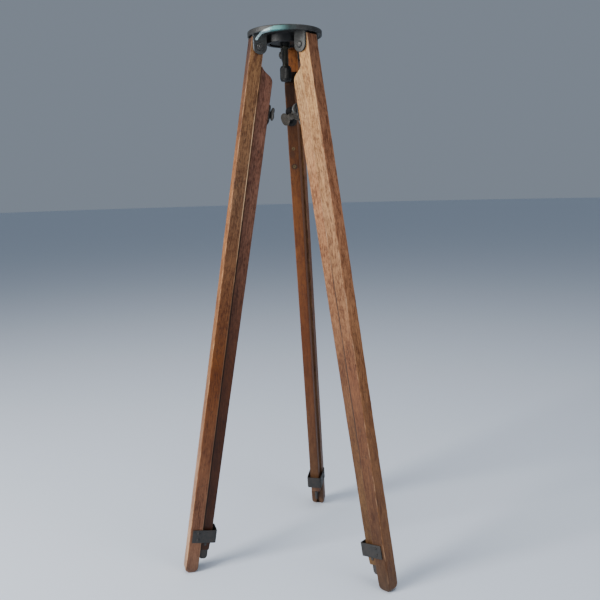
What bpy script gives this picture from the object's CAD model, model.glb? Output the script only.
import bpy
import bmesh
import math
from mathutils import Matrix, Vector, noise


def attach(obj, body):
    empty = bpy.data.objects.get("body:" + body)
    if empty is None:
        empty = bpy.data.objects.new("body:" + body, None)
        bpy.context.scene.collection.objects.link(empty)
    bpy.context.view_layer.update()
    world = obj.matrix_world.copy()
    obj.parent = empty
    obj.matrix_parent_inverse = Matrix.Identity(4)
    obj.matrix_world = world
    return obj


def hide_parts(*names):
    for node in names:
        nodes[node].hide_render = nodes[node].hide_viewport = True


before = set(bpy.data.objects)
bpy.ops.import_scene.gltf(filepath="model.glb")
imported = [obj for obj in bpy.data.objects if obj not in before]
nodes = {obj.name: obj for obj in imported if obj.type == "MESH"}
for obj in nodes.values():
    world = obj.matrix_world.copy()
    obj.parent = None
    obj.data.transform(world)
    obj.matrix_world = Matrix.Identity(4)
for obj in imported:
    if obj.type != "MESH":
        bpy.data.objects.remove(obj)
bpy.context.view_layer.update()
MM = 0.001

# ------------------------------------------------------------------ leg frame
# u across the leg (outwards), t along the hinge axis, z up along the leg, mm.
LEAN = math.radians(9.7)
AZ = {"one": -43.0, "two": 77.0, "three": 197.0}
PIV_R, PIV_Z = 57.0, -34.0


def leg_matrix(tag):
    a = math.radians(AZ[tag])
    return (Matrix.Translation((PIV_R * math.cos(a), PIV_R * math.sin(a), PIV_Z))
            @ Matrix.Rotation(a, 4, "Z") @ Matrix.Rotation(-LEAN, 4, "Y"))


MLEG = {k: leg_matrix(k) for k in AZ}
FOOT = (1122.0 - 34.0 + 4.0 * math.sin(LEAN)) / math.cos(LEAN)
U_OUT, U_IN = 18.3, -8.7
S_OUT = U_IN - 1.2
S_IN = S_OUT - 26.5
S_LOW = S_OUT - 20.0


# ------------------------------------------------------------- shader helpers
class NT:
    def __init__(self, name):
        self.m = bpy.data.materials.new(name)
        self.m.use_nodes = True
        self.t = self.m.node_tree
        self.t.nodes.clear()
        out = self.n("ShaderNodeOutputMaterial")
        self.b = self.n("ShaderNodeBsdfPrincipled")
        self.t.links.new(self.b.outputs[0], out.inputs[0])

    def n(self, kind, **kw):
        x = self.t.nodes.new(kind)
        for k, v in kw.items():
            setattr(x, k, v)
        return x

    def put(self, sock, v):
        if isinstance(v, bpy.types.NodeSocket):
            self.t.links.new(v, sock)
        else:
            sock.default_value = v

    def math(self, op, a, b=0.0, clamp=False):
        x = self.n("ShaderNodeMath", operation=op, use_clamp=clamp)
        self.put(x.inputs[0], a)
        self.put(x.inputs[1], b)
        return x.outputs[0]

    def add(self, a, b):
        return self.math("ADD", a, b)

    def mul(self, a, b):
        return self.math("MULTIPLY", a, b)

    def vec(self, x, y, z):
        c = self.n("ShaderNodeCombineXYZ")
        for s, v in zip(c.inputs, (x, y, z)):
            self.put(s, v)
        return c.outputs[0]

    def noise(self, vec, scale=1.0, detail=3.0, rough=0.55, dist=0.0):
        x = self.n("ShaderNodeTexNoise")
        self.put(x.inputs["Vector"], vec)
        x.inputs["Scale"].default_value = scale
        x.inputs["Detail"].default_value = detail
        x.inputs["Roughness"].default_value = rough
        x.inputs["Distortion"].default_value = dist
        return x.outputs[0]

    def voro(self, vec, scale=1.0, feature="F1"):
        x = self.n("ShaderNodeTexVoronoi", feature=feature)
        self.put(x.inputs["Vector"], vec)
        x.inputs["Scale"].default_value = scale
        return x.outputs[0]

    def rng(self, v, a0, a1, b0=0.0, b1=1.0):
        x = self.n("ShaderNodeMapRange", interpolation_type="SMOOTHSTEP", clamp=True)
        self.put(x.inputs[0], v)
        for i, k in zip((1, 2, 3, 4), (a0, a1, b0, b1)):
            x.inputs[i].default_value = k
        return x.outputs[0]

    def ramp(self, fac, stops):
        x = self.n("ShaderNodeValToRGB")
        self.put(x.inputs[0], fac)
        el = x.color_ramp.elements
        while len(el) < len(stops):
            el.new(0.5)
        for e, (p, c) in zip(el, stops):
            e.position = p
            e.color = (*c, 1.0)
        return x.outputs[0]

    def mix(self, fac, a, b, blend="MIX"):
        x = self.n("ShaderNodeMix", data_type="RGBA", blend_type=blend, clamp_factor=True)
        self.put(x.inputs[0], fac)
        self.put(x.inputs[6], a if isinstance(a, bpy.types.NodeSocket) else (*a, 1.0))
        self.put(x.inputs[7], b if isinstance(b, bpy.types.NodeSocket) else (*b, 1.0))
        return x.outputs[2]

    def bump(self, h, strength, dist, normal=None):
        x = self.n("ShaderNodeBump")
        x.inputs["Strength"].default_value = strength
        x.inputs["Distance"].default_value = dist
        self.put(x.inputs["Height"], h)
        if normal is not None:
            self.put(x.inputs["Normal"], normal)
        return x.outputs[0]

    def xyz(self):
        """Row-frame coordinates in mm."""
        tc = self.n("ShaderNodeTexCoord")
        s = self.n("ShaderNodeVectorMath", operation="SCALE")
        self.put(s.inputs[0], tc.outputs["Object"])
        s.inputs["Scale"].default_value = 1000.0
        return s.outputs[0]

    def split(self, v):
        s = self.n("ShaderNodeSeparateXYZ")
        self.put(s.inputs[0], v)
        return s.outputs[0], s.outputs[1], s.outputs[2]

    def leg_coords(self, tag):
        m = MLEG[tag]
        p = self.xyz()
        sub = self.n("ShaderNodeVectorMath", operation="SUBTRACT")
        self.put(sub.inputs[0], p)
        sub.inputs[1].default_value = m.translation
        out = []
        for k in range(3):
            d = self.n("ShaderNodeVectorMath", operation="DOT_PRODUCT")
            self.put(d.inputs[0], sub.outputs[0])
            d.inputs[1].default_value = m.to_3x3().col[k]
            out.append(d.outputs["Value"])
        return out


def srgb(r, g, b):
    def f(c):
        c /= 255.0
        return c / 12.92 if c <= 0.04045 else ((c + 0.055) / 1.055) ** 2.4
    return (f(r), f(g), f(b))


# ----------------------------------------------------------------------- wood
def wood(name, tag, faces, half_t, u_lo, u_hi, seed, wear=0.6, worn=(0.50, 0.34, 0.22), grime=0.5, contrast=1.0, gloss=0.42, line=None, taper=0.0, seam=0.0, joint=0.0, marks=()):
    """Old varnished hardwood along the leg. faces: colour stops down the leg
    for the +t side, the -t side, the outer face and the inner face."""
    g = NT(name)
    u, t, z = g.leg_coords(tag)
    w = g.mul(z, -1.0)
    frac = g.math("DIVIDE", w, 1110.0, clamp=True)
    # height of the point over the inner face, which tapers on the slides
    du = g.math("SUBTRACT", u, u_lo)
    if taper:
        du = g.math("SUBTRACT", du, g.mul(g.math("DIVIDE", g.add(w, -240.0), 788.0, clamp=True), taper))
    ramps = {k: g.ramp(frac, [(p / 1110.0, c) for p, c in v]) for k, v in faces.items()}
    side = g.rng(t, -2.0, 2.0)
    base = g.mix(side, ramps["neg"], ramps["pos"])
    jitter = g.mul(g.add(g.noise(g.vec(g.mul(u, 0.4), g.mul(t, 0.4), g.mul(z, 0.05)), 1.0, 2.0), -0.5), 1.6)
    base = g.mix(g.rng(g.add(u, jitter), u_hi - 1.3, u_hi - 0.4), base, ramps["out"])
    base = g.mix(g.rng(g.add(du, jitter), 1.3, 0.3), base, ramps["in"])
    # growth rings cut by the faces, distorted along the leg
    warp = g.noise(g.vec(g.add(g.mul(u, 0.03), seed), g.mul(t, 0.03), g.mul(z, 0.0035)), 1.0, 2.0, 0.5)
    uu = g.add(u, 60.0 + 7.0 * seed)
    tt = g.add(t, -22.0 + 3.0 * seed)
    rad = g.math("SQRT", g.add(g.mul(uu, uu), g.mul(tt, tt)))
    rad = g.add(rad, g.mul(warp, 34.0))
    ring = g.math("SINE", g.mul(rad, 2 * math.pi / 3.1))
    ring = g.rng(ring, -0.9, 1.0)
    fib = g.noise(g.vec(g.add(g.mul(u, 0.75), seed), g.mul(t, 0.75), g.mul(z, 0.011)), 1.0, 4.0, 0.62)
    fib2 = g.noise(g.vec(g.add(g.mul(u, 2.3), seed), g.mul(t, 2.3), g.mul(z, 0.035)), 1.0, 3.0, 0.6)
    pore = g.rng(g.noise(g.vec(g.mul(u, 5.0), g.mul(t, 5.0), g.mul(z, 0.22)), 1.0, 2.0, 0.5), 0.60, 0.72)
    blot = g.noise(g.vec(g.add(g.mul(u, 0.035), seed * 3.1), g.mul(t, 0.035), g.mul(z, 0.013)), 1.0, 4.0, 0.6)
    blot2 = g.noise(g.vec(g.add(g.mul(u, 0.11), seed * 1.7), g.mul(t, 0.11), g.mul(z, 0.045)), 1.0, 4.0, 0.65)
    mott = g.noise(g.vec(g.add(g.mul(u, 0.30), seed * 2.3), g.mul(t, 0.30), g.mul(z, 0.115)), 1.0, 4.0, 0.68)
    val = g.add(g.mul(g.add(fib, -0.5), 1.00 * contrast), g.mul(g.add(ring, -0.5), 0.20 * contrast))
    val = g.add(val, g.mul(g.add(fib2, -0.5), 0.60 * contrast))
    val = g.add(val, g.mul(g.add(blot, -0.5), 1.05 * contrast))
    val = g.add(val, g.mul(g.add(blot2, -0.5), 0.90 * contrast))
    val = g.add(val, g.mul(g.mul(g.add(mott, -0.5), g.rng(w, 480.0, 760.0, 1.0, 0.5)), 2.10 * contrast))
    val = g.add(val, g.mul(pore, -0.22))
    # redder where dark, yellower where light
    tone = g.ramp(g.add(val, 0.5), [(0.0, (0.42, 0.30, 0.22)), (0.3, (0.76, 0.68, 0.60)), (0.5, (1.0, 1.0, 1.0)), (0.72, (1.22, 1.27, 1.27)), (1.0, (1.5, 1.6, 1.65))])
    col = g.mix(1.0, base, tone, "MULTIPLY")
    # stains and small dark knocks
    stain = g.rng(g.noise(g.vec(g.mul(u, 0.07), g.mul(t, 0.07), g.add(g.mul(z, 0.022), seed * 5.0)), 1.0, 3.0, 0.7), 0.60, 0.74)
    col = g.mix(g.mul(stain, 0.45 * grime), col, (0.055, 0.030, 0.018))
    speck = g.rng(g.noise(g.vec(g.mul(u, 0.62), g.mul(t, 0.62), g.add(g.mul(z, 0.26), seed)), 1.0, 3.0, 0.6), 0.655, 0.72)
    dash = g.rng(g.noise(g.vec(g.add(g.mul(u, 0.9), 9.0), g.mul(t, 0.9), g.add(g.mul(z, 0.10), seed * 4.0)), 1.0, 2.0, 0.5), 0.675, 0.73)
    dirt = g.rng(g.noise(g.vec(g.mul(u, 0.05), g.mul(t, 0.05), g.add(g.mul(z, 0.012), seed * 6.0)), 1.0, 2.0, 0.5), 0.40, 0.62)
    dots = g.rng(g.noise(g.vec(g.add(g.mul(u, 0.30), 17.0), g.mul(t, 0.30), g.add(g.mul(z, 0.17), seed * 9.0)), 1.0, 2.0, 0.55), 0.60, 0.68)
    pit = g.rng(g.noise(g.vec(g.add(g.mul(u, 0.36), 4.0), g.mul(t, 0.36), g.add(g.mul(z, 0.125), seed * 7.0)), 1.0, 3.0, 0.6), 0.635, 0.71)
    speck = g.math("MAXIMUM", g.math("MAXIMUM", speck, g.mul(dash, 0.8)), g.mul(g.math("MAXIMUM", dots, pit), 0.80))
    speck = g.mul(speck, g.add(g.mul(dirt, 0.75), 0.25))
    col = g.mix(g.mul(speck, 0.70), col, (0.035, 0.018, 0.011))
    # rubbed corners
    au = g.math("MINIMUM", g.math("ABSOLUTE", g.math("SUBTRACT", u_hi, u)), g.add(g.math("ABSOLUTE", du), g.rng(w, 400.0, 600.0, 0.0, 2.2)))
    at = g.math("ABSOLUTE", g.math("SUBTRACT", half_t, g.math("ABSOLUTE", t)))
    edge = g.add(au, at)
    en = g.noise(g.vec(g.mul(u, 0.2), g.mul(t, 0.2), g.add(g.mul(z, 0.030), seed * 2.0)), 1.0, 4.0, 0.7)
    edge = g.add(edge, g.mul(g.add(en, -0.5), -8.0))
    rub = g.mul(g.rng(edge, 2.3, 0.4), g.add(g.mul(en, 0.9 * wear), 0.10 * wear))
    col = g.mix(rub, col, worn)
    scr = g.rng(g.noise(g.vec(g.add(g.mul(u, 0.28), seed), g.mul(t, 0.28), g.mul(z, 0.9)), 1.0, 2.0, 0.5), 0.70, 0.76)
    col = g.mix(g.mul(scr, 0.30 * wear), col, worn)
    if line is not None:
        ln = g.mul(g.rng(g.add(u, g.mul(g.add(en, -0.5), 1.6)), u_lo + 2.5, u_lo + 1.5), g.rng(t, half_t - 3.0, half_t - 1.5))
        ln = g.mul(ln, g.mul(g.rng(w, 90.0, 160.0), g.rng(w, 460.0, 290.0, 0.12, 1.0)))
        col = g.mix(g.mul(ln, g.rng(en, 0.30, 0.55, 0.25, 0.90)), col, line)
    # dirt caught in the corner against the other member
    if seam:
        sm = g.mul(g.rng(g.math("SUBTRACT", u_hi, u), 3.0, 1.4), g.rng(w, 250.0, 400.0))
        col = g.mix(g.mul(g.mul(sm, g.rng(en, 0.25, 0.50, 0.60, 1.0)), seam), col, (0.022, 0.013, 0.010))
    if joint:
        jn = g.mul(g.rng(du, 3.4, 2.0), g.rng(t, 3.0 - half_t, 1.5 - half_t))
        jn = g.mul(jn, g.mul(g.rng(w, 380.0, 480.0), g.rng(w, 900.0, 760.0)))
        col = g.mix(g.mul(g.mul(jn, g.rng(en, 0.25, 0.50, 0.55, 1.0)), joint), col, (0.030, 0.017, 0.012))
    # dark rings round the sunk screws
    for mt, mw, rt, rw, amount in marks:
        dt = g.mul(g.add(t, -mt), 1.0 / rt)
        dw = g.mul(g.add(w, -mw), 1.0 / rw)
        dist = g.math("SQRT", g.add(g.mul(dt, dt), g.mul(dw, dw)))
        dist = g.add(dist, g.mul(g.add(blot2, -0.5), 0.9))
        col = g.mix(g.mul(g.mul(g.rng(dist, 1.15, 0.45), g.rng(du, 2.5, 1.2)), amount), col, (0.020, 0.013, 0.010))
    # grime near both ends
    low = g.rng(g.add(w, g.mul(blot2, 60.0)), 1060.0, 1130.0)
    col = g.mix(g.mul(low, 0.5 * grime), col, (0.07, 0.045, 0.03))
    g.put(g.b.inputs["Base Color"], col)
    rough = g.rng(g.add(g.mul(fib, 0.4), g.mul(blot2, 0.6)), 0.3, 0.7, gloss, gloss + 0.2)
    rough = g.math("MAXIMUM", rough, g.mul(rub, 0.95))
    g.put(g.b.inputs["Roughness"], rough)
    g.b.inputs["Specular IOR Level"].default_value = 0.24
    h = g.add(g.mul(fib2, 0.5), g.mul(pore, -0.5))
    h = g.add(h, g.mul(speck, -0.9))
    nrm = g.bump(h, 0.35, 0.0004)
    nrm = g.bump(g.noise(g.vec(g.mul(u, 0.12), g.mul(t, 0.12), g.mul(z, 0.05)), 1.0, 3.0, 0.6), 0.30, 0.0012, nrm)
    g.put(g.b.inputs["Normal"], nrm)
    return g.m


def stops(*pairs):
    return [(p, srgb(*c)) for p, c in pairs]


# ---------------------------------------------------------------------- metal
def metal(name, dark, light, metallic=0.75, rough=(0.42, 0.62), patina=None, patina_amount=0.0, rust=None, rust_amount=0.0, scale=1.0, verdigris=False, seed=0.0, pits=0.25, shade=None, ends=False):
    g = NT(name)
    p = g.xyz()
    x, y, z = g.split(p)
    q = g.vec(g.add(x, seed * 37.0), y, z)
    n1 = g.noise(q, 0.09 * scale, 5.0, 0.62, 0.4)
    n2 = g.noise(q, 0.45 * scale, 4.0, 0.6)
    n3 = g.noise(q, 1.9 * scale, 3.0, 0.6)
    v = g.add(g.mul(n1, 0.5), g.add(g.mul(n2, 0.32), g.mul(n3, 0.18)))
    col = g.ramp(v, [(0.30, dark), (0.52, tuple((a + b) / 2 for a, b in zip(dark, light))), (0.68, light)])
    met = None
    ro = g.rng(g.add(g.mul(n2, 0.6), g.mul(n3, 0.4)), 0.3, 0.7, rough[0], rough[1])
    if rust is not None:
        m = g.rng(g.add(g.mul(n1, 0.55), g.mul(n3, 0.45)), 0.56 - 0.16 * rust_amount, 0.68 - 0.10 * rust_amount)
        col = g.mix(g.mul(m, 0.85), col, g.mix(n3, rust, tuple(c * 0.5 for c in rust)))
        ro = g.math("MAXIMUM", ro, g.mul(m, 0.86))
        met = g.rng(m, 0.1, 0.8, metallic, 0.15)
    if patina is not None:
        m = g.rng(g.add(g.mul(n2, 0.6), g.mul(n1, 0.4)), 0.60 - 0.22 * patina_amount, 0.72 - 0.18 * patina_amount)
        if verdigris:
            # a streak along the rim's lower half, curling down on to one lug
            v = g.add(z, g.mul(y, -0.216))
            q2 = g.vec(x, v, 0.0)
            line = [(18.0, 9.6), (-2.8, 9.3), (-16.2, 8.2), (-27.8, 6.4), (-37.9, 3.4), (-46.4, -0.3), (-52.4, -6.7), (-55.5, -11.3)]
            dist = None
            for (ax, av), (bx, bv) in zip(line, line[1:]):
                pa = g.n("ShaderNodeVectorMath", operation="SUBTRACT")
                g.put(pa.inputs[0], q2)
                pa.inputs[1].default_value = (ax, av, 0.0)
                dx, dv = bx - ax, bv - av
                dt = g.n("ShaderNodeVectorMath", operation="DOT_PRODUCT")
                g.put(dt.inputs[0], pa.outputs[0])
                k2 = dx * dx + dv * dv
                dt.inputs[1].default_value = (dx / k2, dv / k2, 0.0)
                hh = g.math("ADD", dt.outputs["Value"], 0.0, clamp=True)
                sc = g.n("ShaderNodeVectorMath", operation="SCALE")
                sc.inputs[0].default_value = (dx, dv, 0.0)
                g.put(sc.inputs["Scale"], hh)
                ds = g.n("ShaderNodeVectorMath", operation="DISTANCE")
                g.put(ds.inputs[0], pa.outputs[0])
                g.put(ds.inputs[1], sc.outputs[0])
                dist = ds.outputs["Value"] if dist is None else g.math("MINIMUM", dist, ds.outputs["Value"])
            dist = g.add(dist, g.mul(g.add(n2, -0.5), 3.2))
            half = g.rng(x, -50.0, -14.0, 2.0, 4.6)
            spot = g.rng(g.math("SUBTRACT", dist, half), 1.3, -0.9)
            spot = g.mul(spot, g.rng(y, -26.0, -31.0))
            spot = g.mul(spot, g.rng(x, 14.0, -22.0, 0.06, 1.0))
            spot = g.mul(spot, g.rng(g.add(g.mul(n2, 0.5), g.mul(n3, 0.5)), 0.28, 0.50, 0.55, 1.0))
            pale = g.mul(g.rng(x, -22.0, -36.0), g.rng(n2, 0.30, 0.55))
            m = g.math("MAXIMUM", g.mul(m, 0.30), spot)
            patina_col = g.mix(pale, g.mix(n3, tuple(c * 0.75 for c in patina), patina), srgb(206, 228, 230))
        if not verdigris:
            patina_col = g.mix(n3, patina, tuple(min(1.0, c * 1.35) for c in patina))
        col = g.mix(m, col, patina_col)
        ro = g.math("MAXIMUM", ro, g.mul(m, 0.88))
        met = g.rng(m, 0.05, 0.7, metallic, 0.0) if met is None else g.math("MINIMUM", met, g.rng(m, 0.05, 0.7, metallic, 0.0))
    if ends:
        # lugs rubbed brighter on their outer ends
        rl = g.math("SQRT", g.add(g.mul(x, x), g.mul(y, y)))
        tip = g.mul(g.mul(g.rng(rl, 71.2, 72.6), g.rng(z, -16.0, -24.0)), g.rng(x, -20.0, -40.0))
        col = g.mix(g.mul(tip, g.rng(n2, 0.25, 0.50, 0.35, 0.80)), col, srgb(104, 110, 114))
    if shade is not None:
        # soot and dirt gathered inside the hub
        rr = g.math("SQRT", g.add(g.mul(x, x), g.mul(y, y)))
        inner = g.mul(g.rng(rr, shade[1], shade[0]), g.rng(z, -7.4, -8.2))
        col = g.mix(g.mul(inner, shade[2]), col, (0.004, 0.004, 0.0045))
    g.put(g.b.inputs["Base Color"], col)
    g.put(g.b.inputs["Roughness"], ro)
    if met is None:
        g.b.inputs["Metallic"].default_value = metallic
    else:
        g.put(g.b.inputs["Metallic"], met)
    h = g.add(g.mul(n3, 0.6), g.mul(n2, 0.8))
    g.put(g.b.inputs["Normal"], g.bump(h, pits, 0.0006))
    return g.m


W = {}
# rails: colours of each face down the leg
TONES = {
    "rail_one": {"neg": ((0, (164, 120, 72)), (300, (144, 104, 68)), (660, (104, 64, 40)), (1090, (72, 48, 28))),
                 "pos": ((0, (132, 92, 60)), (500, (132, 90, 58)), (1090, (106, 76, 54))),
                 "out": ((0, (112, 72, 48)), (300, (152, 100, 68)), (660, (140, 92, 56)), (1090, (100, 64, 36))),
                 "in": ((0, (100, 68, 46)), (1100, (88, 60, 42)))},
    "rail_two": {"neg": ((0, (124, 76, 44)), (300, (116, 72, 40)), (660, (96, 56, 24)), (1090, (88, 52, 20))),
                 "pos": ((0, (140, 94, 58)), (500, (132, 88, 54)), (1090, (112, 78, 54))),
                 "out": ((0, (146, 98, 60)), (500, (138, 92, 58)), (1090, (114, 80, 56))),
                 "in": ((0, (138, 80, 36)), (32, (132, 74, 32)), (60, (110, 72, 44)), (1100, (90, 62, 42)))},
    "rail_three": {"neg": ((0, (140, 98, 62)), (500, (136, 92, 54)), (1090, (112, 78, 52))),
                   "pos": ((0, (116, 80, 48)), (300, (104, 72, 48)), (660, (96, 48, 8)), (1090, (112, 76, 56))),
                   "out": ((0, (68, 44, 32)), (300, (148, 96, 56)), (660, (128, 84, 48)), (1090, (168, 128, 96))),
                   "in": ((0, (100, 68, 44)), (1100, (84, 58, 40)))},
    "slide_one": {"neg": ((0, (156, 120, 76)), (300, (152, 104, 68)), (660, (100, 64, 40)), (1090, (88, 64, 36))),
                  "pos": ((0, (116, 80, 56)), (1050, (96, 66, 48))),
                  "out": ((0, (84, 56, 38)), (1050, (70, 48, 34))),
                  "in": ((0, (140, 96, 62)), (500, (126, 86, 56)), (1050, (102, 72, 50)))},
    "slide_two": {"neg": ((0, (18, 14, 12)), (54, (18, 14, 12)), (64, (112, 72, 44)), (500, (104, 66, 42)), (1050, (88, 60, 44))),
                  "pos": ((0, (18, 14, 12)), (54, (18, 14, 12)), (64, (124, 80, 46)), (500, (116, 76, 46)), (1050, (96, 66, 48))),
                  "out": ((0, (84, 54, 34)), (1050, (70, 48, 34))),
                  "in": ((0, (20, 16, 12)), (300, (108, 60, 24)), (660, (92, 48, 20)), (1090, (84, 60, 40)))},
    "slide_three": {"neg": ((0, (104, 70, 50)), (1050, (84, 58, 44))),
                    "pos": ((0, (112, 72, 56)), (300, (100, 64, 48)), (660, (72, 36, 16)), (1090, (56, 28, 12))),
                    "out": ((0, (84, 56, 40)), (1050, (66, 46, 34))),
                    "in": ((0, (116, 80, 56)), (500, (104, 72, 52)), (1050, (86, 60, 44)))},
}


def tones(name):
    return {k: stops(*v) for k, v in TONES[name].items()}


W["rail_one"] = wood("wood_rail_one", "one", tones("rail_one"), 15.5, U_IN, U_OUT, 1.3, wear=0.75, worn=srgb(194, 156, 120), grime=0.7, contrast=1.05, joint=0.9)
W["rail_two"] = wood("wood_rail_two", "two", tones("rail_two"), 15.5, U_IN, U_OUT, 4.7, wear=0.5, worn=srgb(186, 142, 102), grime=0.6)
W["rail_three"] = wood("wood_rail_three", "three", tones("rail_three"), 15.5, U_IN, U_OUT, 8.9, wear=0.8, worn=srgb(196, 148, 104), grime=0.55, line=srgb(206, 170, 132))
W["slide_one"] = wood("wood_slide_one", "one", tones("slide_one"), 11.0, S_IN, S_OUT, 2.2, wear=0.5, worn=srgb(188, 146, 106), grime=0.6, contrast=1.05, taper=6.5, seam=0.85)
W["slide_two"] = wood("wood_slide_two", "two", tones("slide_two"), 11.0, S_IN, S_OUT, 6.1, wear=0.3, worn=srgb(170, 112, 64), grime=0.4, contrast=0.60, taper=6.5, marks=((0.0, 228.0, 8.5, 6.5, 0.85), (2.0, 202.0, 7.0, 12.0, 0.40)))
W["slide_three"] = wood("wood_slide_three", "three", tones("slide_three"), 11.0, S_IN, S_OUT, 10.4, wear=0.3, worn=srgb(140, 100, 72), grime=0.5, taper=6.5, seam=0.8)

BRONZE = metal("head_bronze", srgb(23, 23, 23), srgb(64, 64, 62), 0.30, (0.42, 0.62), patina=srgb(96, 156, 152), patina_amount=0.10, verdigris=True, scale=1.0, seed=0.4, shade=(38.5, 46.0, 0.93), ends=True)
BRASS = metal("dark_brass", srgb(24, 24, 21), srgb(64, 60, 48), 0.45, (0.38, 0.60), patina=srgb(66, 92, 82), patina_amount=0.10, scale=1.6, seed=1.4)
HUB = metal("hub_brass", srgb(8, 8, 8), srgb(26, 25, 21), 0.30, (0.45, 0.70), scale=1.6, seed=7.4)
KNOB = metal("knob_brass", srgb(9, 9, 8), srgb(27, 27, 24), 0.30, (0.40, 0.60), patina=srgb(40, 56, 52), patina_amount=0.12, scale=1.6, seed=2.2)
BOLT = metal("bolt_steel", srgb(30, 30, 30), srgb(76, 75, 73), 0.40, (0.40, 0.62), rust=srgb(58, 42, 30), rust_amount=0.20, scale=1.5, seed=3.9)
CLAMP = {"one": metal("clamp_steel_one", srgb(50, 52, 52), srgb(122, 126, 124), 0.40, (0.38, 0.60), rust=srgb(60, 44, 30), rust_amount=0.22, scale=1.5, seed=3.1),
         "two": metal("clamp_steel_two", srgb(54, 51, 46), srgb(124, 116, 104), 0.40, (0.38, 0.60), rust=srgb(72, 52, 36), rust_amount=0.28, scale=1.5, seed=8.3),
         "three": metal("clamp_steel_three", srgb(20, 20, 20), srgb(58, 58, 56), 0.35, (0.40, 0.62), rust=srgb(48, 34, 24), rust_amount=0.22, scale=1.5, seed=5.7)}
PLATE = metal("clamp_plate_iron", srgb(7, 6, 6), srgb(26, 22, 20), 0.25, (0.50, 0.75), rust=srgb(36, 24, 17), rust_amount=0.25, scale=1.8, seed=6.6)
IRON = metal("band_iron", srgb(28, 28, 28), srgb(64, 62, 60), 0.30, (0.50, 0.75), rust=srgb(66, 48, 36), rust_amount=0.28, scale=1.6, seed=4.2, pits=0.4)
SHOE = metal("shoe_iron", srgb(34, 33, 33), srgb(78, 76, 73), 0.30, (0.50, 0.75), rust=srgb(78, 56, 42), rust_amount=0.34, scale=1.6, seed=9.2, pits=0.4)
SCREW = metal("screw_brass", srgb(60, 50, 34), srgb(138, 116, 78), 0.7, (0.34, 0.54), scale=2.2, seed=5.2)


# ----------------------------------------------------------- geometry helpers
def finish_mesh(ob, smooth=32.0):
    me = ob.data
    bm = bmesh.new()
    bm.from_mesh(me)
    bmesh.ops.remove_doubles(bm, verts=bm.verts, dist=2e-6)
    bmesh.ops.dissolve_degenerate(bm, dist=1e-6, edges=bm.edges)
    bmesh.ops.recalc_face_normals(bm, faces=bm.faces)
    bm.to_mesh(me)
    bm.free()
    me.shade_smooth()
    me.set_sharp_from_angle(angle=math.radians(smooth))


def mesh(name, verts, faces, M=None):
    M = M or Matrix.Identity(4)
    me = bpy.data.meshes.new(name)
    me.from_pydata([(M @ Vector(v)) * MM for v in verts], [], faces)
    ob = bpy.data.objects.new(name, me)
    bpy.context.scene.collection.objects.link(ob)
    bm = bmesh.new()
    bm.from_mesh(me)
    bmesh.ops.recalc_face_normals(bm, faces=bm.faces)
    bm.to_mesh(me)
    bm.free()
    return ob


def baked(ob):
    """Turns the object's modifiers into its mesh."""
    dg = bpy.context.evaluated_depsgraph_get()
    dg.update()
    me = bpy.data.meshes.new_from_object(ob.evaluated_get(dg))
    ob.modifiers.clear()
    old = ob.data
    ob.data = me
    bpy.data.meshes.remove(old)
    return ob


def boolean(ob, others, op="DIFFERENCE"):
    for c in others:
        m = ob.modifiers.new("cut", "BOOLEAN")
        m.object = c
        m.operation = op
        m.solver = "EXACT"
    baked(ob)
    for c in others:
        bpy.data.objects.remove(c)
    return ob


def bevel(ob, width, segments=2, angle=35.0):
    m = ob.modifiers.new("edge", "BEVEL")
    m.width = width * MM
    m.segments = segments
    m.limit_method = "ANGLE"
    m.angle_limit = math.radians(angle)
    m.harden_normals = False
    return baked(ob)


def piece(ob, body, mat, slot, *cad, smooth=32.0):
    finish_mesh(ob, smooth)
    ob.data.materials.clear()
    ob.data.materials.append(mat)
    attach(ob, body)
    if cad:
        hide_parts(*cad)
    return ob


def join(name, obs):
    """One object from several meshes, all at the origin."""
    bm = bmesh.new()
    for o in obs:
        bm.from_mesh(o.data)
    me = bpy.data.meshes.new(name)
    bm.to_mesh(me)
    bm.free()
    for o in obs:
        bpy.data.objects.remove(o)
    ob = bpy.data.objects.new(name, me)
    bpy.context.scene.collection.objects.link(ob)
    return ob


def loft(name, rings, M=None, closed_loop=False):
    n = len(rings[0])
    verts = [p for r in rings for p in r]
    faces = []
    k = len(rings)
    for i in range(k if closed_loop else k - 1):
        for j in range(n):
            a, b = i * n + j, i * n + (j + 1) % n
            c, d = ((i + 1) % k) * n + (j + 1) % n, ((i + 1) % k) * n + j
            faces.append((a, b, c, d))
    if not closed_loop:
        faces.append(tuple(reversed(range(n))))
        faces.append(tuple((k - 1) * n + j for j in range(n)))
    return mesh(name, verts, faces, M)


def lathe(name, profile, seg=64, M=None, wobble=None):
    """Closed profile of (r, z), turned about z. Points with r = 0 are poles."""
    verts, faces, idx = [], [], []
    for r, z in profile:
        if r < 1e-6:
            idx.append([len(verts)] * seg)
            verts.append((0, 0, z))
        else:
            row = []
            for j in range(seg):
                a = 2 * math.pi * j / seg
                rr = r if wobble is None else wobble(r, a, z)
                row.append(len(verts))
                verts.append((rr * math.cos(a), rr * math.sin(a), z))
            idx.append(row)
    k = len(profile)
    for i in range(k):
        a, b = idx[i], idx[(i + 1) % k]
        if a[0] == a[1] and b[0] == b[1]:
            continue
        for j in range(seg):
            q = [a[j], a[(j + 1) % seg], b[(j + 1) % seg], b[j]]
            f = []
            for v in q:
                if v not in f:
                    f.append(v)
            if len(f) > 2:
                faces.append(tuple(f))
    return mesh(name, verts, faces, M)


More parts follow.
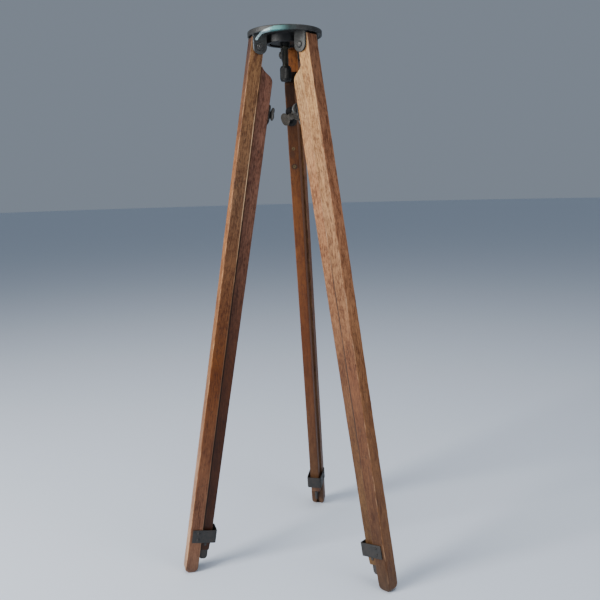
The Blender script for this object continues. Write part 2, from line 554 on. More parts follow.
def rounded(profile, default=0.5, n=3):
    """Rounds the corners of a closed polygon. Points: (x, y) or (x, y, radius)."""
    out = []
    k = len(profile)
    for i in range(k):
        p = profile[i]
        r = p[2] if len(p) > 2 else default
        a, b, c = Vector(profile[i - 1][:2]), Vector(p[:2]), Vector(profile[(i + 1) % k][:2])
        ab, cb = (a - b), (c - b)
        if r <= 0 or ab.length < 1e-6 or cb.length < 1e-6:
            out.append(tuple(b))
            continue
        ang = ab.angle(cb)
        if ang > math.radians(178) or ang < math.radians(2):
            out.append(tuple(b))
            continue
        d = min(r / math.tan(ang / 2), ab.length * 0.48, cb.length * 0.48)
        p0, p1 = b + ab.normalized() * d, b + cb.normalized() * d
        for s in range(n + 1):
            f = s / n
            q = (1 - f) ** 2 * p0 + 2 * f * (1 - f) * b + f ** 2 * p1
            out.append(tuple(q))
    return out


def prism(name, outline, lo, hi, M=None, axis="z"):
    """Outline (a, b) extruded between lo and hi along an axis of the local frame."""
    def at(a, b, c):
        return {"z": (a, b, c), "y": (a, c, b), "x": (c, a, b)}[axis]
    n = len(outline)
    verts = [at(a, b, lo) for a, b in outline] + [at(a, b, hi) for a, b in outline]
    faces = [(j, (j + 1) % n, n + (j + 1) % n, n + j) for j in range(n)]
    faces += [tuple(reversed(range(n))), tuple(range(n, 2 * n))]
    return mesh(name, verts, faces, M)


def nz(x, y=0.0, z=0.0):
    return noise.noise(Vector((x, y, z)))


def rrect(u0, u1, h, rad, nseg=4, nu=6, nt=7):
    """Rounded rectangle in (u, t): points with outward normals. rad: radii at
    (u1,-h), (u1,+h), (u0,+h), (u0,-h)."""
    rad = [min(r, (u1 - u0) * 0.45, h * 0.9) for r in rad]
    cs = [(u1 - rad[0], -h + rad[0], -90), (u1 - rad[1], h - rad[1], 0), (u0 + rad[2], h - rad[2], 90), (u0 + rad[3], -h + rad[3], 180)]
    pts = []
    for k in range(4):
        cx, cy, a0 = cs[k]
        r = rad[k]
        for s in range(nseg + 1):
            a = math.radians(a0 + 90.0 * s / nseg)
            pts.append((cx + r * math.cos(a), cy + r * math.sin(a), math.cos(a), math.sin(a)))
        ex, ey = pts[-1][0], pts[-1][1]
        nx, ny, b0 = cs[(k + 1) % 4]
        rn = rad[(k + 1) % 4]
        sx, sy = nx + rn * math.cos(math.radians(b0)), ny + rn * math.sin(math.radians(b0))
        m = nt if k in (0, 2) else nu
        na = math.radians(a0 + 90)
        for s in range(1, m):
            f = s / m
            pts.append((ex + (sx - ex) * f, ey + (sy - ey) * f, math.cos(na), math.sin(na)))
    return pts


def interp(table, x):
    if x <= table[0][0]:
        return table[0][1]
    for (a, va), (b, vb) in zip(table, table[1:]):
        if x <= b:
            return va + (vb - va) * (x - a) / (b - a)
    return table[-1][1]


def arc3(p, m, q, n=8):
    """n + 1 points on the circle through p, m and q."""
    (ax, ay), (bx, by), (cx, cy) = p, m, q
    d = 2 * (ax * (by - cy) + bx * (cy - ay) + cx * (ay - by))
    ux = ((ax * ax + ay * ay) * (by - cy) + (bx * bx + by * by) * (cy - ay) + (cx * cx + cy * cy) * (ay - by)) / d
    uy = ((ax * ax + ay * ay) * (cx - bx) + (bx * bx + by * by) * (ax - cx) + (cx * cx + cy * cy) * (bx - ax)) / d
    r = math.hypot(ax - ux, ay - uy)
    a0, am, a1 = (math.atan2(y - uy, x - ux) for x, y in (p, m, q))
    tau = 2 * math.pi
    ccw = ((am - a0) % tau) < ((a1 - a0) % tau)
    sweep = (a1 - a0) % tau if ccw else -((a0 - a1) % tau)
    return [(ux + r * math.cos(a0 + sweep * k / n), uy + r * math.sin(a0 + sweep * k / n)) for k in range(n + 1)]


# ----------------------------------------------------------------------- rail
def stations(lo, hi, step):
    n = max(1, int(round((hi - lo) / step)))
    return [lo + (hi - lo) * k / n for k in range(n)]


# knocks on the long corners: (corner, w, length, depth); corners as in rrect
KNOCKS = {
    "one": [(0, 402, 26, 2.6), (0, 436, 12, 1.6), (0, 250, 9, 0.9), (0, 640, 14, 1.2), (1, 520, 16, 1.3), (0, 838, 18, 1.0), (1, 905, 12, 1.2), (0, 1040, 12, 1.0)],
    "two": [(0, 300, 12, 1.0), (1, 560, 18, 1.3), (0, 760, 10, 1.0), (1, 930, 14, 1.2)],
    "three": [(1, 120, 10, 0.9), (1, 355, 16, 1.2), (1, 620, 9, 0.8), (0, 700, 15, 1.3), (1, 880, 20, 1.2), (1, 1010, 12, 0.9)],
}


def make_rail(tag):
    M = MLEG[tag]
    seed = {"one": 11.0, "two": 23.0, "three": 37.0}[tag]
    # side outline at the top and the foot, as tables of u against w
    top_in = arc3((U_IN, 2.0), (-4.6, 13.8), (8.0, 17.6), 14)
    tin = sorted([(-z, u) for u, z in top_in])
    fz0 = FOOT - 5.0 * math.sin(LEAN)
    fz1 = FOOT + 5.0 * math.sin(LEAN)
    fx0, fx1 = 4.0 - 5.0 * math.cos(LEAN), 4.0 + 5.0 * math.cos(LEAN)
    foot_in = arc3((U_IN, -(fz0 - 10.0)), (U_IN + 2.4, -(fz0 - 3.4)), (fx0, -fz0), 10)
    foot_out = arc3((fx1, -fz1), (U_OUT - 2.6, -(fz1 - 3.2)), (U_OUT, -(fz1 - 9.5)), 10)
    fin = sorted([(-z, u) for u, z in foot_in] + [(fz1, fx1)])
    side = arc3((15.5, -(FOOT - 12.0)), (13.8, -(FOOT - 5.0)), (9.3, -(FOOT + 0.6)), 14)
    fside = sorted([(-z, t) for t, z in side])
    fout = sorted([(-z, u) for u, z in foot_out])
    ws = [-18.3, -18.0, -17.6, -17.2, -16.6, -15.8, -14.8, -13.6, -12.0, -10.0, -8.0, -5.5, -2.0]
    ws += stations(2.0, 1088.0, 4.0)
    ws += [1088.0, 1090.0, 1092.0, 1093.0, 1094.0, 1095.0, 1096.0, 1097.0, 1098.0, 1098.8, 1099.6, 1100.3, 1101.0, 1101.6, 1102.2, 1102.8, 1103.3, fz0 - 0.04, fz0 + 0.35, fz0 + 0.75, fz0 + 1.15, fz1 - 0.10]
    rings = []
    for w in ws:
        u0 = interp(tin, w) if w < -2.0 else U_IN
        u1 = U_OUT - max(0.0, -w - 17.0) * 1.0
        if w > fz0 - 10.0:
            u0 = interp(fin, w)
        if w > fz1 - 9.5:
            u1 = interp(fout, w)
        if w < -17.2:
            u0 = max(u0, 6.5 + (-w - 17.2) * 8.0)
        h = 15.5 - 0.12 * (0.5 + 0.5 * nz(w / 90.0, seed))
        if w > FOOT - 12.0:
            h = min(h, interp(fside, w))
        rad = []
        for c in range(4):
            r = (2.3 if c < 2 else 0.9) + (0.9 if c < 2 else 0.35) * nz(w / 46.0, seed + 3.1 * c) + 0.4 * nz(w / 9.0, seed + 7.7 * c)
            r = max(1.1 if c < 2 else 0.5, r)
            for cc, w0, ln, dp in KNOCKS[tag]:
                if cc == c and abs(w - w0) < ln / 2:
                    r += dp * math.cos(math.pi * (w - w0) / ln) ** 2 * (0.8 + 0.5 * nz(w / 2.5, seed))
            if w > FOOT - 22.0:
                r += (w - FOOT + 22.0) * 0.16
            rad.append(r)
        ring = []
        for u, t, nu_, nt_ in rrect(u0, u1, h, rad):
            d = 0.10 * (1 + nz(w / 60.0, u / 14.0 + seed, t / 14.0)) + 0.06 * (1 + nz(w / 11.0, u / 5.0 + seed, t / 5.0))
            d *= 0.8
            if w > fz0 - 2.0 or w < -14.0:
                d *= 0.2
            ring.append((u - nu_ * d, t - nt_ * d, -w))
        rings.append(ring)
    ob = loft("leg_%s_rail_wood" % tag, rings, M)
    # T-slot, open at the foot
    nb, wb, n_in, fl = 3.5, 6.5, U_IN + 5.0, U_IN + 10.0
    slot = [(U_IN - 3, -nb), (n_in, -nb), (n_in, -wb), (fl, -wb), (fl, wb), (n_in, wb), (n_in, nb), (U_IN - 3, nb)]
    cut = prism("cut", slot, -1140.0, -59.0, M)
    bore = prism("cut2", [(4.06 * math.cos(2 * math.pi * k / 32), 4.06 * math.sin(2 * math.pi * k / 32)) for k in range(32)], -20.0, 20.0, M, axis="y")
    # the slot's mouth is worn wider at the sole
    mouth = prism("cut3", [(-3.4, -1090.0), (3.4, -1090.0), (4.2, -1099.0), (5.6, -1108.0), (-5.6, -1108.0), (-4.2, -1099.0)], 0.0, 7.0,
                  M @ Matrix.Translation((U_IN - 2.0, 0, 0)) @ Matrix(((0, 0, 1, 0), (1, 0, 0, 0), (0, 1, 0, 0), (0, 0, 0, 1))))
    boolean(ob, [cut, bore, mouth])
    return piece(ob, "leg_%s_rail" % tag, W["rail_" + tag], "rail_wood", "leg_%s_rail" % tag)


# ---------------------------------------------------------------------- slide
def make_slide(tag):
    M = MLEG[tag]
    seed = {"one": 51.0, "two": 67.0, "three": 83.0}[tag]
    st, sf = -34.0, -61.0
    pts = arc3((S_IN, sf), (S_IN + 2.6, sf + 7.0), (S_IN + 9.0, sf + 13.0), 8)
    pts += arc3((S_IN + 9.0, sf + 13.0), (S_OUT - 9.5, sf + 18.2), (S_OUT - 4.0, st - 4.0), 8)[1:]
    pts += arc3((S_OUT - 4.0, st - 4.0), (S_OUT - 2.4, st - 1.6), (S_OUT - 0.6, st - 0.1), 5)[1:]
    tin = sorted([(-z, u) for u, z in pts])
    tab = [(61.0, S_IN), (240.0, S_IN), (1010.0, S_LOW - 0.15), (1028.0, S_LOW), (1051.5, S_OUT - 18.2), (1053.0, S_OUT - 17.2)]
    ws = [34.15, 34.6, 35.3, 36.2, 37.3, 38.5, 40.0, 41.5, 43.0, 44.5, 46.0, 47.5, 49.0, 50.5, 52.0, 53.5, 55.0, 56.5, 58.0, 59.5, 61.0]
    ws += stations(64.0, 1026.0, 4.5) + [1026.0, 1028.0, 1030.0, 1034.0, 1039.0, 1044.0, 1048.0, 1050.5, 1051.6, 1052.4, 1052.95]
    rings = []
    for w in ws:
        u0 = interp(tin, w) if w < 61.0 else interp(tab, w)
        h = 11.0 - 0.10 * (0.5 + 0.5 * nz(w / 80.0, seed))
        rad = []
        for c in range(4):
            r = (0.9 if c < 2 else 1.7) + (0.3 if c < 2 else 0.7) * nz(w / 52.0, seed + 2.3 * c) + 0.25 * nz(w / 8.0, seed + 5.1 * c)
            rad.append(max(0.5, min(r, (S_OUT - u0) * 0.4)))
        ring = []
        for u, t, nu_, nt_ in rrect(u0, S_OUT, h, rad, 4, 6, 5):
            d = 0.09 * (1 + nz(w / 55.0, u / 12.0 + seed, t / 12.0)) + 0.05 * (1 + nz(w / 10.0, u / 5.0 + seed, t / 5.0))
            ring.append((u - nu_ * d * 0.8, t - nt_ * d * 0.8, -w))
        rings.append(ring)
    ob = loft("leg_%s_slide_wood" % tag, rings, M)
    kerf = prism("cut", [(S_OUT + 1, -1003.7), (S_OUT - 16.3, -1003.7), (S_OUT - 16.3, -1060.0), (S_OUT + 1, -1060.0)], -2.85, 2.85, M, axis="y")
    boolean(ob, [kerf])
    return piece(ob, "leg_%s_slide" % tag, W["slide_" + tag], "slide_wood", "leg_%s_slide" % tag)


# ----------------------------------------------------------------------- shoe
def make_shoe(tag):
    M = MLEG[tag]
    x1, x0, xk = S_OUT - 0.5, S_OUT - 17.9, S_OUT - 15.9
    out = [(xk, -1004.0), (xk, -1053.3), (x0, -1053.3)]
    left = [(x0, -1071.5)] + arc3((x0, -1071.5), (x0 + 2.0, -1076.1), (x0 + 5.2, -1078.0), 6)[1:]
    right = arc3((x1 - 5.4, -1078.0), (x1 - 2.2, -1076.3), (x1, -1072.5), 6)
    out += left + right + [(x1, -1004.0)]
    n = len(out)
    cx, cz = (x0 + x1) / 2, -1040.0
    rings = []
    for y, k in ((-2.8, 1.3), (-2.45, 0.55), (-1.6, 0.12), (0.0, 0.0), (1.6, 0.12), (2.45, 0.55), (2.8, 1.3)):
        ring = []
        for a, b in out:
            dx = -k if a > cx else k
            dz = k if b < -1064 else 0.0
            thin = 1.0 - 0.22 * max(0.0, (-b - 1063.0) / 15.0)
            ring.append((a + dx, y * thin, b + dz))
        rings.append(ring)
    blade = loft("leg_%s_shoe_blade" % tag, rings, M)
    piece(blade, "leg_%s_slide" % tag, SHOE, "iron", "leg_%s_shoe" % tag, smooth=40)
    # domed rivet heads, both sides, with their shanks
    obs = []
    for w in (1020.0, 1040.0):
        prof = [(0, -12.5), (1.6, -12.35), (2.6, -11.95), (3.3, -11.35), (3.4, -11.0), (2.0, -10.95), (2.0, 10.95), (3.4, 11.0), (3.3, 11.35), (2.6, 11.95), (1.6, 12.35), (0, 12.5)]
        T = M @ Matrix.Translation((S_OUT - 8.0, 0, -w)) @ Matrix.Rotation(math.radians(90), 4, "X")
        obs.append(lathe("rv", prof, 24, T))
    riv = join("leg_%s_shoe_rivet_heads" % tag, obs)
    piece(riv, "leg_%s_slide" % tag, SHOE, "iron", "leg_%s_shoe_rivets" % tag, smooth=50)


# ----------------------------------------------------------------------- band
def make_band(tag):
    M = MLEG[tag]
    seed = {"one": 3.0, "two": 5.0, "three": 9.0}[tag]
    bi, th = 15.6, 2.2
    bo = bi + th
    b_in = S_IN - 0.8
    r_i, r_o = 2.2, 4.2
    # half of the strap's section, from the arm's end round the bend
    outer = [(12.4, bo)] + [(12.4 - 3.6 * k, bo) for k in range(1, 13)]
    inner = [(12.4, bi)] + [(12.4 - 3.6 * k, bi) for k in range(1, 13)]
    co = (b_in - th + r_o, bo - r_o)
    ci = (b_in + r_i, bi - r_i)
    outer = [p for p in outer if p[0] > co[0] + 0.5]
    inner = [p for p in inner if p[0] > ci[0] + 0.5]
    outer += [(co[0] + r_o * math.cos(math.radians(a)), co[1] + r_o * math.sin(math.radians(a))) for a in range(90, 181, 15)]
    inner += [(ci[0] + r_i * math.cos(math.radians(a)), ci[1] + r_i * math.sin(math.radians(a))) for a in range(90, 181, 15)]
    outer += [(b_in - th, y) for y in (10.0, 6.6, 3.3)]
    inner += [(b_in, y) for y in (10.0, 6.6, 3.3)]
    full_o = outer + [(b_in - th, 0.0)] + [(u, -t) for u, t in reversed(outer)]
    full_i = inner + [(b_in, 0.0)] + [(u, -t) for u, t in reversed(inner)]
    prof = full_o + list(reversed(full_i))
    n = len(prof)
    rings = []
    zs = [-1006.0 - 28.0 * k / 9 for k in range(10)]
    for i, z in enumerate(zs):
        ring = []
        for j, (u, t) in enumerate(prof):
            e = 0.45 * nz(u / 9.0, t / 9.0, seed) if i in (0, 9) else 0.0
            # slight dents, pushed outwards from the wood only
            d = 0.16 * nz(u / 7.0, t / 7.0, z / 7.0 + seed)
            s = -1.0 if u < b_in + 1 else 0.0
            q = (1 if t > 0 else -1) if u > b_in + 3 else 0
            zz = z - (abs(e) if i == 0 else 0) + (abs(e) if i == 9 else 0)
            ring.append((u + s * d * 0.6, t + q * d * 0.5, zz))
        rings.append(ring)
    ob = loft("leg_%s_band_strap" % tag, rings, M)
    bevel(ob, 0.45, 2, 50)
    piece(ob, "leg_%s_rail" % tag, IRON, "iron", "leg_%s_band" % tag, smooth=38)
    obs = []
    for side in (1, -1):
        for k, w in enumerate((1013.0, 1027.0)):
            rot = Matrix.Rotation(math.radians(-90 * side), 4, "X")
            T = M @ Matrix.Translation((0, side * (bo + 0.02), -w)) @ rot @ Matrix.Rotation(0.7 * k + side, 4, "Z")
            prof2 = [(0, 1.5), (1.2, 1.42), (2.2, 1.12), (2.8, 0.6), (3.0, 0.0), (1.5, -0.02), (1.5, -10.2), (0, -10.5)]
            hd = lathe("sc", prof2, 28, T)
            slotc = prism("cut", [(-4, -0.32), (4, -0.32), (4, 0.32), (-4, 0.32)], 0.75, 3.0, T)
            obs.append(boolean(hd, [slotc]))
    piece(join("leg_%s_band_screw_heads" % tag, obs), "leg_%s_rail" % tag, IRON, "iron", "leg_%s_band_screws" % tag, smooth=40)


# ---------------------------------------------------------------------- clamp
def cast(ob, voxel, rounds=3):
    """Melts joined shapes into one soft-edged casting."""
    m = ob.modifiers.new("melt", "REMESH")
    m.mode = "VOXEL"
    m.voxel_size = voxel * MM
    m.adaptivity = 0.0
    s = ob.modifiers.new("soft", "SMOOTH")
    s.factor = 0.5
    s.iterations = rounds
    return baked(ob)


def x_frame(M, u, w, turn=0.0):
    """Local frame on the leg's inner face: +Z points inwards (-u), centred at (u, 0, w)."""
    return M @ Matrix.Translation((u, 0, -w)) @ Matrix.Rotation(math.radians(-90), 4, "Y") @ Matrix.Rotation(turn, 4, "Z")


EAR_TURN = {"one": 55.0, "two": 20.0, "three": -5.0}


def make_clamp(tag):
    M = MLEG[tag]
    body = "leg_%s_slide" % tag
    pf = S_IN - 3.0
    w0 = 123.0
    # plate: in this frame x runs along the leg, y across it
    P = x_frame(M, S_IN, w0)
    out = []
    for sx in (1, -1):
        a0 = -90 if sx > 0 else 90
        for k in range(0, 13):
            a = math.radians(a0 + 180 * k / 12)
            out.append((sx * 10.8 + 9.1 * math.cos(a), 11.4 * math.sin(a)))
    plate = prism("leg_%s_clamp_base" % tag, out, 0.0, 3.0, P)
    hole = prism("cut", [(4.06 * math.cos(2 * math.pi * k / 32), 4.06 * math.sin(2 * math.pi * k / 32)) for k in range(32)], -2, 6, P)
    boolean(plate, [hole])
    bevel(plate, 0.6, 3, 50)
    piece(plate, body, PLATE, "steel", "leg_%s_clamp_plate" % tag, smooth=38)
    obs = []
    for k, dw in enumerate((-14.0, 14.0)):
        T = x_frame(M, pf, w0 + dw, 0.6 + 1.1 * k)
        prof = [(0, 1.4), (1.3, 1.3), (2.4, 0.95), (3.1, 0.3), (3.1, 0.0), (1.5, -0.02), (1.5, -13.2), (0, -13.5)]
        hd = lathe("sc", prof, 28, T)
        obs.append(boolean(hd, [prism("cut", [(-4, -0.33), (4, -0.33), (4, 0.33), (-4, 0.33)], 0.65, 3.0, T)]))
    piece(join("leg_%s_clamp_base_screws" % tag, obs), body, PLATE, "steel", "leg_%s_clamp_plate_screws" % tag, smooth=40)
    # guide screws, sunk in the slide's inner face
    obs = []
    for k, wv in enumerate((190.0, 228.0)):
        T = x_frame(M, S_IN, wv, 0.3 + 0.9 * k)
        prof = [(0, -0.05), (3.6, -0.05), (3.8, -0.25), (2.0, -1.9), (2.0, -31.8), (0, -32.4)]
        hd = lathe("sc", prof, 28, T)
        obs.append(boolean(hd, [prism("cut", [(-4.5, -0.4), (4.5, -0.4), (4.5, 0.4), (-4.5, 0.4)], -0.8, 3.0, T)]))
    piece(join("leg_%s_guide_screw_heads" % tag, obs), body, SCREW, "brass", "leg_%s_guide_screws" % tag, smooth=40)
    # eared screw: hub, two broad cupped ears, shaft
    H = x_frame(M, pf - 0.4, w0, math.radians(90 + EAR_TURN[tag]))
    hub = lathe("hub", [(0, 7.0), (3.0, 6.8), (5.2, 6.0), (6.4, 4.6), (7.0, 2.6), (7.0, 0.8), (6.4, 0.0), (0, 0.0)], 40, H)
    obs = [hub]
    for s in (1, -1):
        na, nb = 16, 12
        top, bot = [], []
        for i in range(na + 1):
            a = i / na
            x = 3.0 + 18.6 * a
            if a < 0.5:
                h = 4.8 + (13.2 - 4.8) * math.sin(a / 0.5 * math.pi / 2) ** 1.2
            else:
                h = 13.2 * math.sqrt(max(0.0, 1 - ((a - 0.5) / 0.5) ** 2.4))
            h = max(h, 0.6)
            skew = 1.4 * a
            rt, rb = [], []
            for j in range(nb + 1):
                b = -1 + 2 * j / nb
                y = h * b + skew * 0.8
                cup = 2.2 + 1.7 * a * a + 1.9 * (b * b) * (0.35 + 0.65 * a)
                e = max(abs(b), a)
                th = 1.0 + 0.55 * max(0.0, 1 - abs(e - 0.86) / 0.2) - 0.3 * max(0.0, (e - 0.93) / 0.07)
                rt.append((s * x, s * y, cup + th))
                rb.append((s * x, s * y, cup - th))
            top.append(rt)
            bot.append(rb)
        rings = [rt + list(reversed(rb)) for rt, rb in zip(top, bot)]
        obs.append(loft("ear", rings, H))
    ears = join("ears", obs)
    ears = cast(ears, 0.55, 4)
    shaft = lathe("shaft", [(4.0, 1.0), (4.0, S_IN - S_OUT - 3.4 + 0.5), (2.2, S_IN - S_OUT - 3.4 + 0.2), (2.2, -(S_OUT - (pf - 0.4)) - 9.3), (0, -(S_OUT - (pf - 0.4)) - 9.3), (0, 1.0)], 32, x_frame(M, pf - 0.4, w0))
    whole = join("leg_%s_clamp_ears" % tag, [ears, shaft])
    piece(whole, "leg_%s_clamp_screw" % tag, CLAMP[tag], "steel", "leg_%s_clamp_screw" % tag, smooth=50)


# ----------------------------------------------------------------------- head
def make_head():
    # turned body: plate, rim and hub ring
    prof = rounded([
        (7.0, 0.0, 0.5), (74.0, 0.0, 1.0), (75.0, -1.2, 0.6), (75.0, -9.2, 0.6), (74.2, -10.0, 0.5), (71.6, -10.0, 0.8), (70.8, -8.0, 1.4),
        (40.0, -8.0, 2.0), (38.0, -9.5, 1.0), (38.0, -23.2, 0.5), (37.2, -24.0, 0.5), (31.6, -24.0, 0.4), (31.0, -23.4, 0.3), (31.0, -18.0, 0.2),
        (25.0, -18.0, 0.6), (25.0, -8.0, 0.8), (7.0, -8.0, 0.4)], 0.5, 3)

    def wob(r, a, z):
        k = 0.0
        if z < -8.5 and r > 30:
            k = 0.18 * nz(math.cos(a) * 3, math.sin(a) * 3, z / 9.0)
        return r + min(0.0, k) if r > 60 else r + k
    disc = lathe("head_disc", prof, 180, None, wob)
    lugs = []
    for tag, az in AZ.items():
        R = Matrix.Rotation(math.radians(az), 4, "Z")
        for s in (1, -1):
            o = [(43.0, -6.5), (71.0, -6.5), (71.0, -34.0)]
            o += [(57.0 + 14.0 * math.cos(math.radians(a)), -34.0 - 14.0 * math.sin(math.radians(a))) for a in range(10, 171, 10)]
            o += [(43.0, -34.0)]
            o = [(a, b) for a, b in o]
            lug = prism("lug", o, min(s * 15.8, s * 19.8), max(s * 15.8, s * 19.8), R, axis="y")
            bevel(lug, 0.7, 3, 50)
            lugs.append(lug)
    boolean(disc, lugs, "UNION")
    holes = []
    for tag, az in AZ.items():
        R = Matrix.Rotation(math.radians(az), 4, "Z")
        holes.append(prism("cut", [(57 + 4.02 * math.cos(2 * math.pi * k / 32), -34 + 4.02 * math.sin(2 * math.pi * k / 32)) for k in range(32)], -24, 24, R, axis="y"))
    boolean(disc, holes)
    disc.name = "head_casting"
    piece(disc, "head", BRONZE, "head_bronze", "head_plate", smooth=36)

    # retainer plate and its slotted screws
    R = Matrix.Rotation(math.radians(77.0), 4, "Z")
    ret = lathe("retainer_ring", rounded([(10.2, -18.05, 0.3), (30.6, -18.05, 0.3), (30.6, -21.0, 0.7), (10.2, -21.0, 0.7)], 0.4, 3), 120)
    piece(ret, "head", HUB, "brass", "screw_retainer_plate", smooth=36)
    obs = []
    for k in range(3):
        T = R @ Matrix.Rotation(math.radians(120 * k), 4, "Z") @ Matrix.Translation((28.0, 0, -21.0)) @ Matrix.Rotation(math.pi, 4, "X") @ Matrix.Rotation(0.5 + k, 4, "Z")
        hd = lathe("sc", [(0, 1.8), (1.7, 1.75), (2.3, 1.45), (2.5, 0.9), (2.5, 0.0), (1.6, -0.02), (1.6, -9.8), (0, -10.0)], 24, T)
        obs.append(boolean(hd, [prism("cut", [(-3, -0.3), (3, -0.3), (3, 0.3), (-3, 0.3)], 0.9, 3.0, T)]))
    piece(join("retainer_screw_heads", obs), "head", HUB, "brass", "retainer_screws", smooth=40)

    # hinge bolts and nuts
    bolts, nuts = [], []
    for k, (tag, az) in enumerate(AZ.items()):
        a = math.radians(az)
        T = Matrix.Translation((PIV_R * math.cos(a), PIV_R * math.sin(a), PIV_Z)) @ Matrix.Rotation(a, 4, "Z") @ Matrix.Rotation(math.radians(-90), 4, "X")
        b = lathe("b", [(0, -22.8), (3.0, -22.7), (5.2, -22.2), (6.2, -21.4), (6.6, -20.4), (6.6, -19.85), (4.0, -19.83), (4.0, 25.6), (3.2, 26.6), (0, 26.6)], 40, T)
        T2 = T @ Matrix.Rotation(0.9 * k + 0.4, 4, "Z")
        bolts.append(boolean(b, [prism("cut", [(-8, -0.55), (8, -0.55), (8, 0.55), (-8, 0.55)], -24.0, -21.7, T2)]))
        hexr = 13.0 / 2 / math.cos(math.radians(30))
        T3 = T @ Matrix.Rotation(0.35 * k, 4, "Z")
        n = prism("n", [(hexr * math.cos(math.radians(60 * j)), hexr * math.sin(math.radians(60 * j))) for j in range(6)], 19.85, 24.85, T3)
        bore = prism("cut", [(4.02 * math.cos(2 * math.pi * j / 32), 4.02 * math.sin(2 * math.pi * j / 32)) for j in range(32)], 15, 30, T)
        boolean(n, [bore])
        # chamfered corners
        cone = lathe("cone", [(0, 17.0), (7.4, 17.0), (7.4, 23.7), (6.3, 25.0), (0, 25.0)], 48, T)
        boolean(n, [cone], "INTERSECT")
        bevel(n, 0.25, 2, 50)
        nuts.append(n)
    piece(join("hinge_bolt_heads", bolts), "head", BOLT, "steel", "hinge_bolts", smooth=38)
    piece(join("hinge_nut_hexes", nuts), "head", BOLT, "steel", "hinge_nuts", smooth=38)


def threaded(z0, z1, r, depth, pitch, seg=48):
    """Rows of a cylinder whose skin follows a helical thread, as a lathe wobble."""
    step = pitch / 7.0
    n = int(round((z1 - z0) / step))
    rows = [(r, z0 + (z1 - z0) * k / n) for k in range(n + 1)]

    def wob(rr, a, z):
        if abs(rr - r) > 1e-6 or z <= z0 + 1e-6 or z >= z1 - 1e-6:
            return rr
        ph = (z / pitch - a / (2 * math.pi)) % 1.0
        tri = 1 - abs(2 * ph - 1)
        k = min(1.0, max(0.0, (tri - 0.15) / 0.7))
        fade = min(1.0, (z - z0) / (0.8 * pitch), (z1 - z) / (0.8 * pitch))
        return r - depth * k * max(0.0, fade)
    return rows, wob


def make_screw():
    sh = -14.4
    up, wob_up = threaded(0.0, 11.2, 6.35, 0.85, 2.117)
    lo, wob_lo = threaded(-64.6, -33.0, 6.35, 0.6, 2.117)

    def wob(r, a, z):
        return wob_up(r, a, z) if z >= 0.0 else wob_lo(r, a, z)
    prof = [(0, 12.0), (4.9, 12.0), (5.4, 11.9), (6.1, 11.5)] + list(reversed(up))
    prof += [(5.8, -0.05), (5.8, sh + 2.35), (8.6, sh + 2.3), (9.0, sh + 1.9), (9.0, sh + 0.1), (8.8, sh), (6.34, sh), (6.34, -32.6)]
    prof += list(reversed(lo)) + [(6.3, -66.0), (4.5, -66.0), (4.5, -82.0), (0, -82.0)]
    piece(lathe("centre_screw_thread", prof, 56, None, wob), "centre_screw", BRASS, "brass", "centre_screw", smooth=55)

    ct, cb = -27.3, -31.8
    col = lathe("stop_collar_ring", rounded([(6.37, ct, 0.1), (9.4, ct, 0.6), (9.4, cb, 0.6), (6.37, cb, 0.1)], 0.3, 3), 64)
    piece(col, "centre_screw", BRASS, "brass", "screw_stop_collar", smooth=40)

    # knob: rounded ends, grooves, fine upright ribs between them
    kt, kb = -66.0, -96.0

    def rib(r, a, z):
        if r > 11.0 and kb + 4.4 < z < kt - 4.4:
            k = 0.5 - 0.5 * math.cos(26 * a)
            f = min(1.0, (kt - 4.4 - z) / 1.5, (z - kb - 4.4) / 1.5)
            return r - 0.75 * (1 - k) * f
        return r
    side = [(11.5, z) for z in [kt - 4.2, kt - 5.0, kt - 6.0, kt - 9.0, kt - 13.0, kt - 17.0, kt - 21.0, kt - 24.0, kt - 25.0, kb + 4.2]]
    prof = [(4.52, kt), (7.6, kt), (8.9, kt - 0.3), (9.9, kt - 1.1), (10.3, kt - 2.0), (10.3, kt - 3.4), (10.9, kt - 3.8)] + side
    prof += [(10.9, kb + 3.8), (10.3, kb + 3.4), (10.3, kb + 2.0), (9.9, kb + 1.1), (8.9, kb + 0.3), (7.6, kb), (0, kb - 0.0), (0, kt - 16.3), (4.52, kt - 16.3)]
    piece(lathe("centre_knob", prof, 182, None, rib), "centre_screw", KNOB, "brass", "centre_screw_knob", smooth=42)

    fl = -17.7
    bush = lathe("bush_flanged", rounded([(6.4, fl + 3.0, 0.2), (13.0, fl + 3.0, 0.4), (13.0, fl, 0.3), (9.5, fl, 0.2), (9.5, -27.0, 0.5), (6.4, -27.0, 0.2)], 0.3, 3), 72)
    piece(bush, "screw_carrier", HUB, "brass", "screw_bush", smooth=40)


make_head()
make_screw()
for tag in AZ:
    make_rail(tag)
    make_slide(tag)
    make_shoe(tag)
    make_band(tag)
    make_clamp(tag)
    # small inner pieces keep their own solids
    for n, m in (("guide", W["slide_" + tag]), ("stop_block", W["rail_" + tag]), ("clamp_pad", SCREW)):
        o = nodes["leg_%s_%s" % (tag, n)]
        o.data.materials.clear()
        o.data.materials.append(m)

# ---------------------------------------------------------------------- stage
FLOOR_Z = -1.122


def floor():
    g = NT("floor_pale")
    g.b.inputs["Base Color"].default_value = (0.72, 0.78, 0.87, 1.0)
    g.b.inputs["Roughness"].default_value = 0.62
    g.b.inputs["Specular IOR Level"].default_value = 0.2
    n = 96
    verts = [(0, 0, FLOOR_Z)]
    faces = []
    rad = 30.0
    for j in range(n):
        a = 2 * math.pi * j / n
        verts.append((rad * math.cos(a), rad * math.sin(a), FLOOR_Z))
    for j in range(n):
        faces.append((0, 1 + j, 1 + (j + 1) % n))
    me = bpy.data.meshes.new("floor")
    me.from_pydata(verts, [], faces)
    me.materials.append(g.m)
    ob = bpy.data.objects.new("floor", me)
    bpy.context.scene.collection.objects.link(ob)


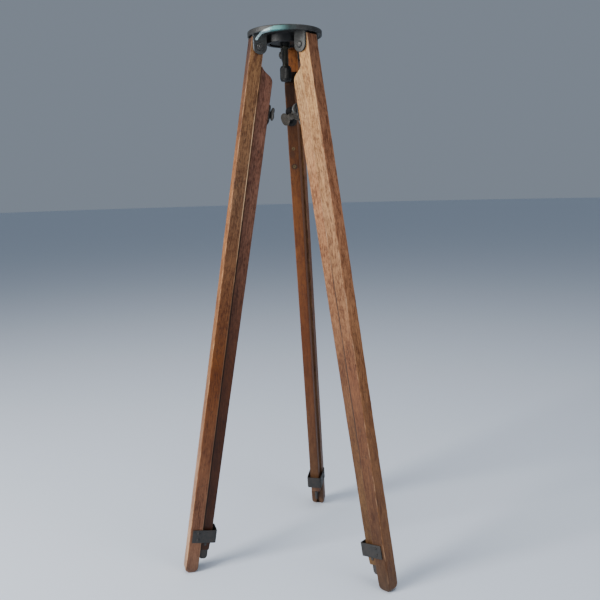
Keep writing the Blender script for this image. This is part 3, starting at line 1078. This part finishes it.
floor()

world = bpy.data.worlds.new("studio")
bpy.context.scene.world = world
world.use_nodes = True
wt = world.node_tree
wt.nodes.clear()
wo = wt.nodes.new("ShaderNodeOutputWorld")
wb = wt.nodes.new("ShaderNodeBackground")
wt.links.new(wb.outputs[0], wo.inputs[0])
wb.inputs[0].default_value = (0.20, 0.235, 0.285, 1.0)
wb.inputs[1].default_value = 1.0


def area(name, loc, target, size, power, color=(1, 1, 1)):
    d = bpy.data.lights.new(name, "AREA")
    d.shape = "RECTANGLE"
    d.size, d.size_y = size
    d.energy = power
    d.color = color
    o = bpy.data.objects.new(name, d)
    bpy.context.scene.collection.objects.link(o)
    o.location = loc
    o.rotation_mode = "QUATERNION"
    o.rotation_quaternion = (Vector(target) - Vector(loc)).to_track_quat("-Z", "Y")
    return o


area("key_left", (-2.6, -1.5, 0.5), (0, 0, -0.45), (1.2, 1.8), 150.0, (1.0, 0.985, 0.96))
area("fill_right", (2.4, -2.2, 0.2), (0, 0, -0.5), (1.6, 1.8), 26.0, (0.95, 0.97, 1.0))
area("top_soft", (0.2, -0.4, 2.2), (0, 0, -1.1), (2.4, 2.4), 55.0, (0.97, 0.98, 1.0))

# --------------------------------------------------------------------- camera
cd = bpy.data.cameras.new("cam")
cd.sensor_width = 36.0
cd.lens = 36.0 * 695.9 / 600.0
cam = bpy.data.objects.new("cam", cd)
bpy.context.scene.collection.objects.link(cam)
yaw, pitch, roll = 0.0115, -0.1637, -0.0261
F = Vector((math.sin(yaw) * math.cos(pitch), math.cos(yaw) * math.cos(pitch), math.sin(pitch)))
Rv = Vector((math.cos(yaw), -math.sin(yaw), 0.0))
Uv = Rv.cross(F)
R2 = Rv * math.cos(roll) + Uv * math.sin(roll)
U2 = -Rv * math.sin(roll) + Uv * math.cos(roll)
cam.rotation_mode = "QUATERNION"
cam.rotation_quaternion = Matrix((R2, U2, -F)).transposed().to_quaternion()
cam.location = (0.0, -1.470, 0.8177 - 1.122)
bpy.context.scene.camera = cam
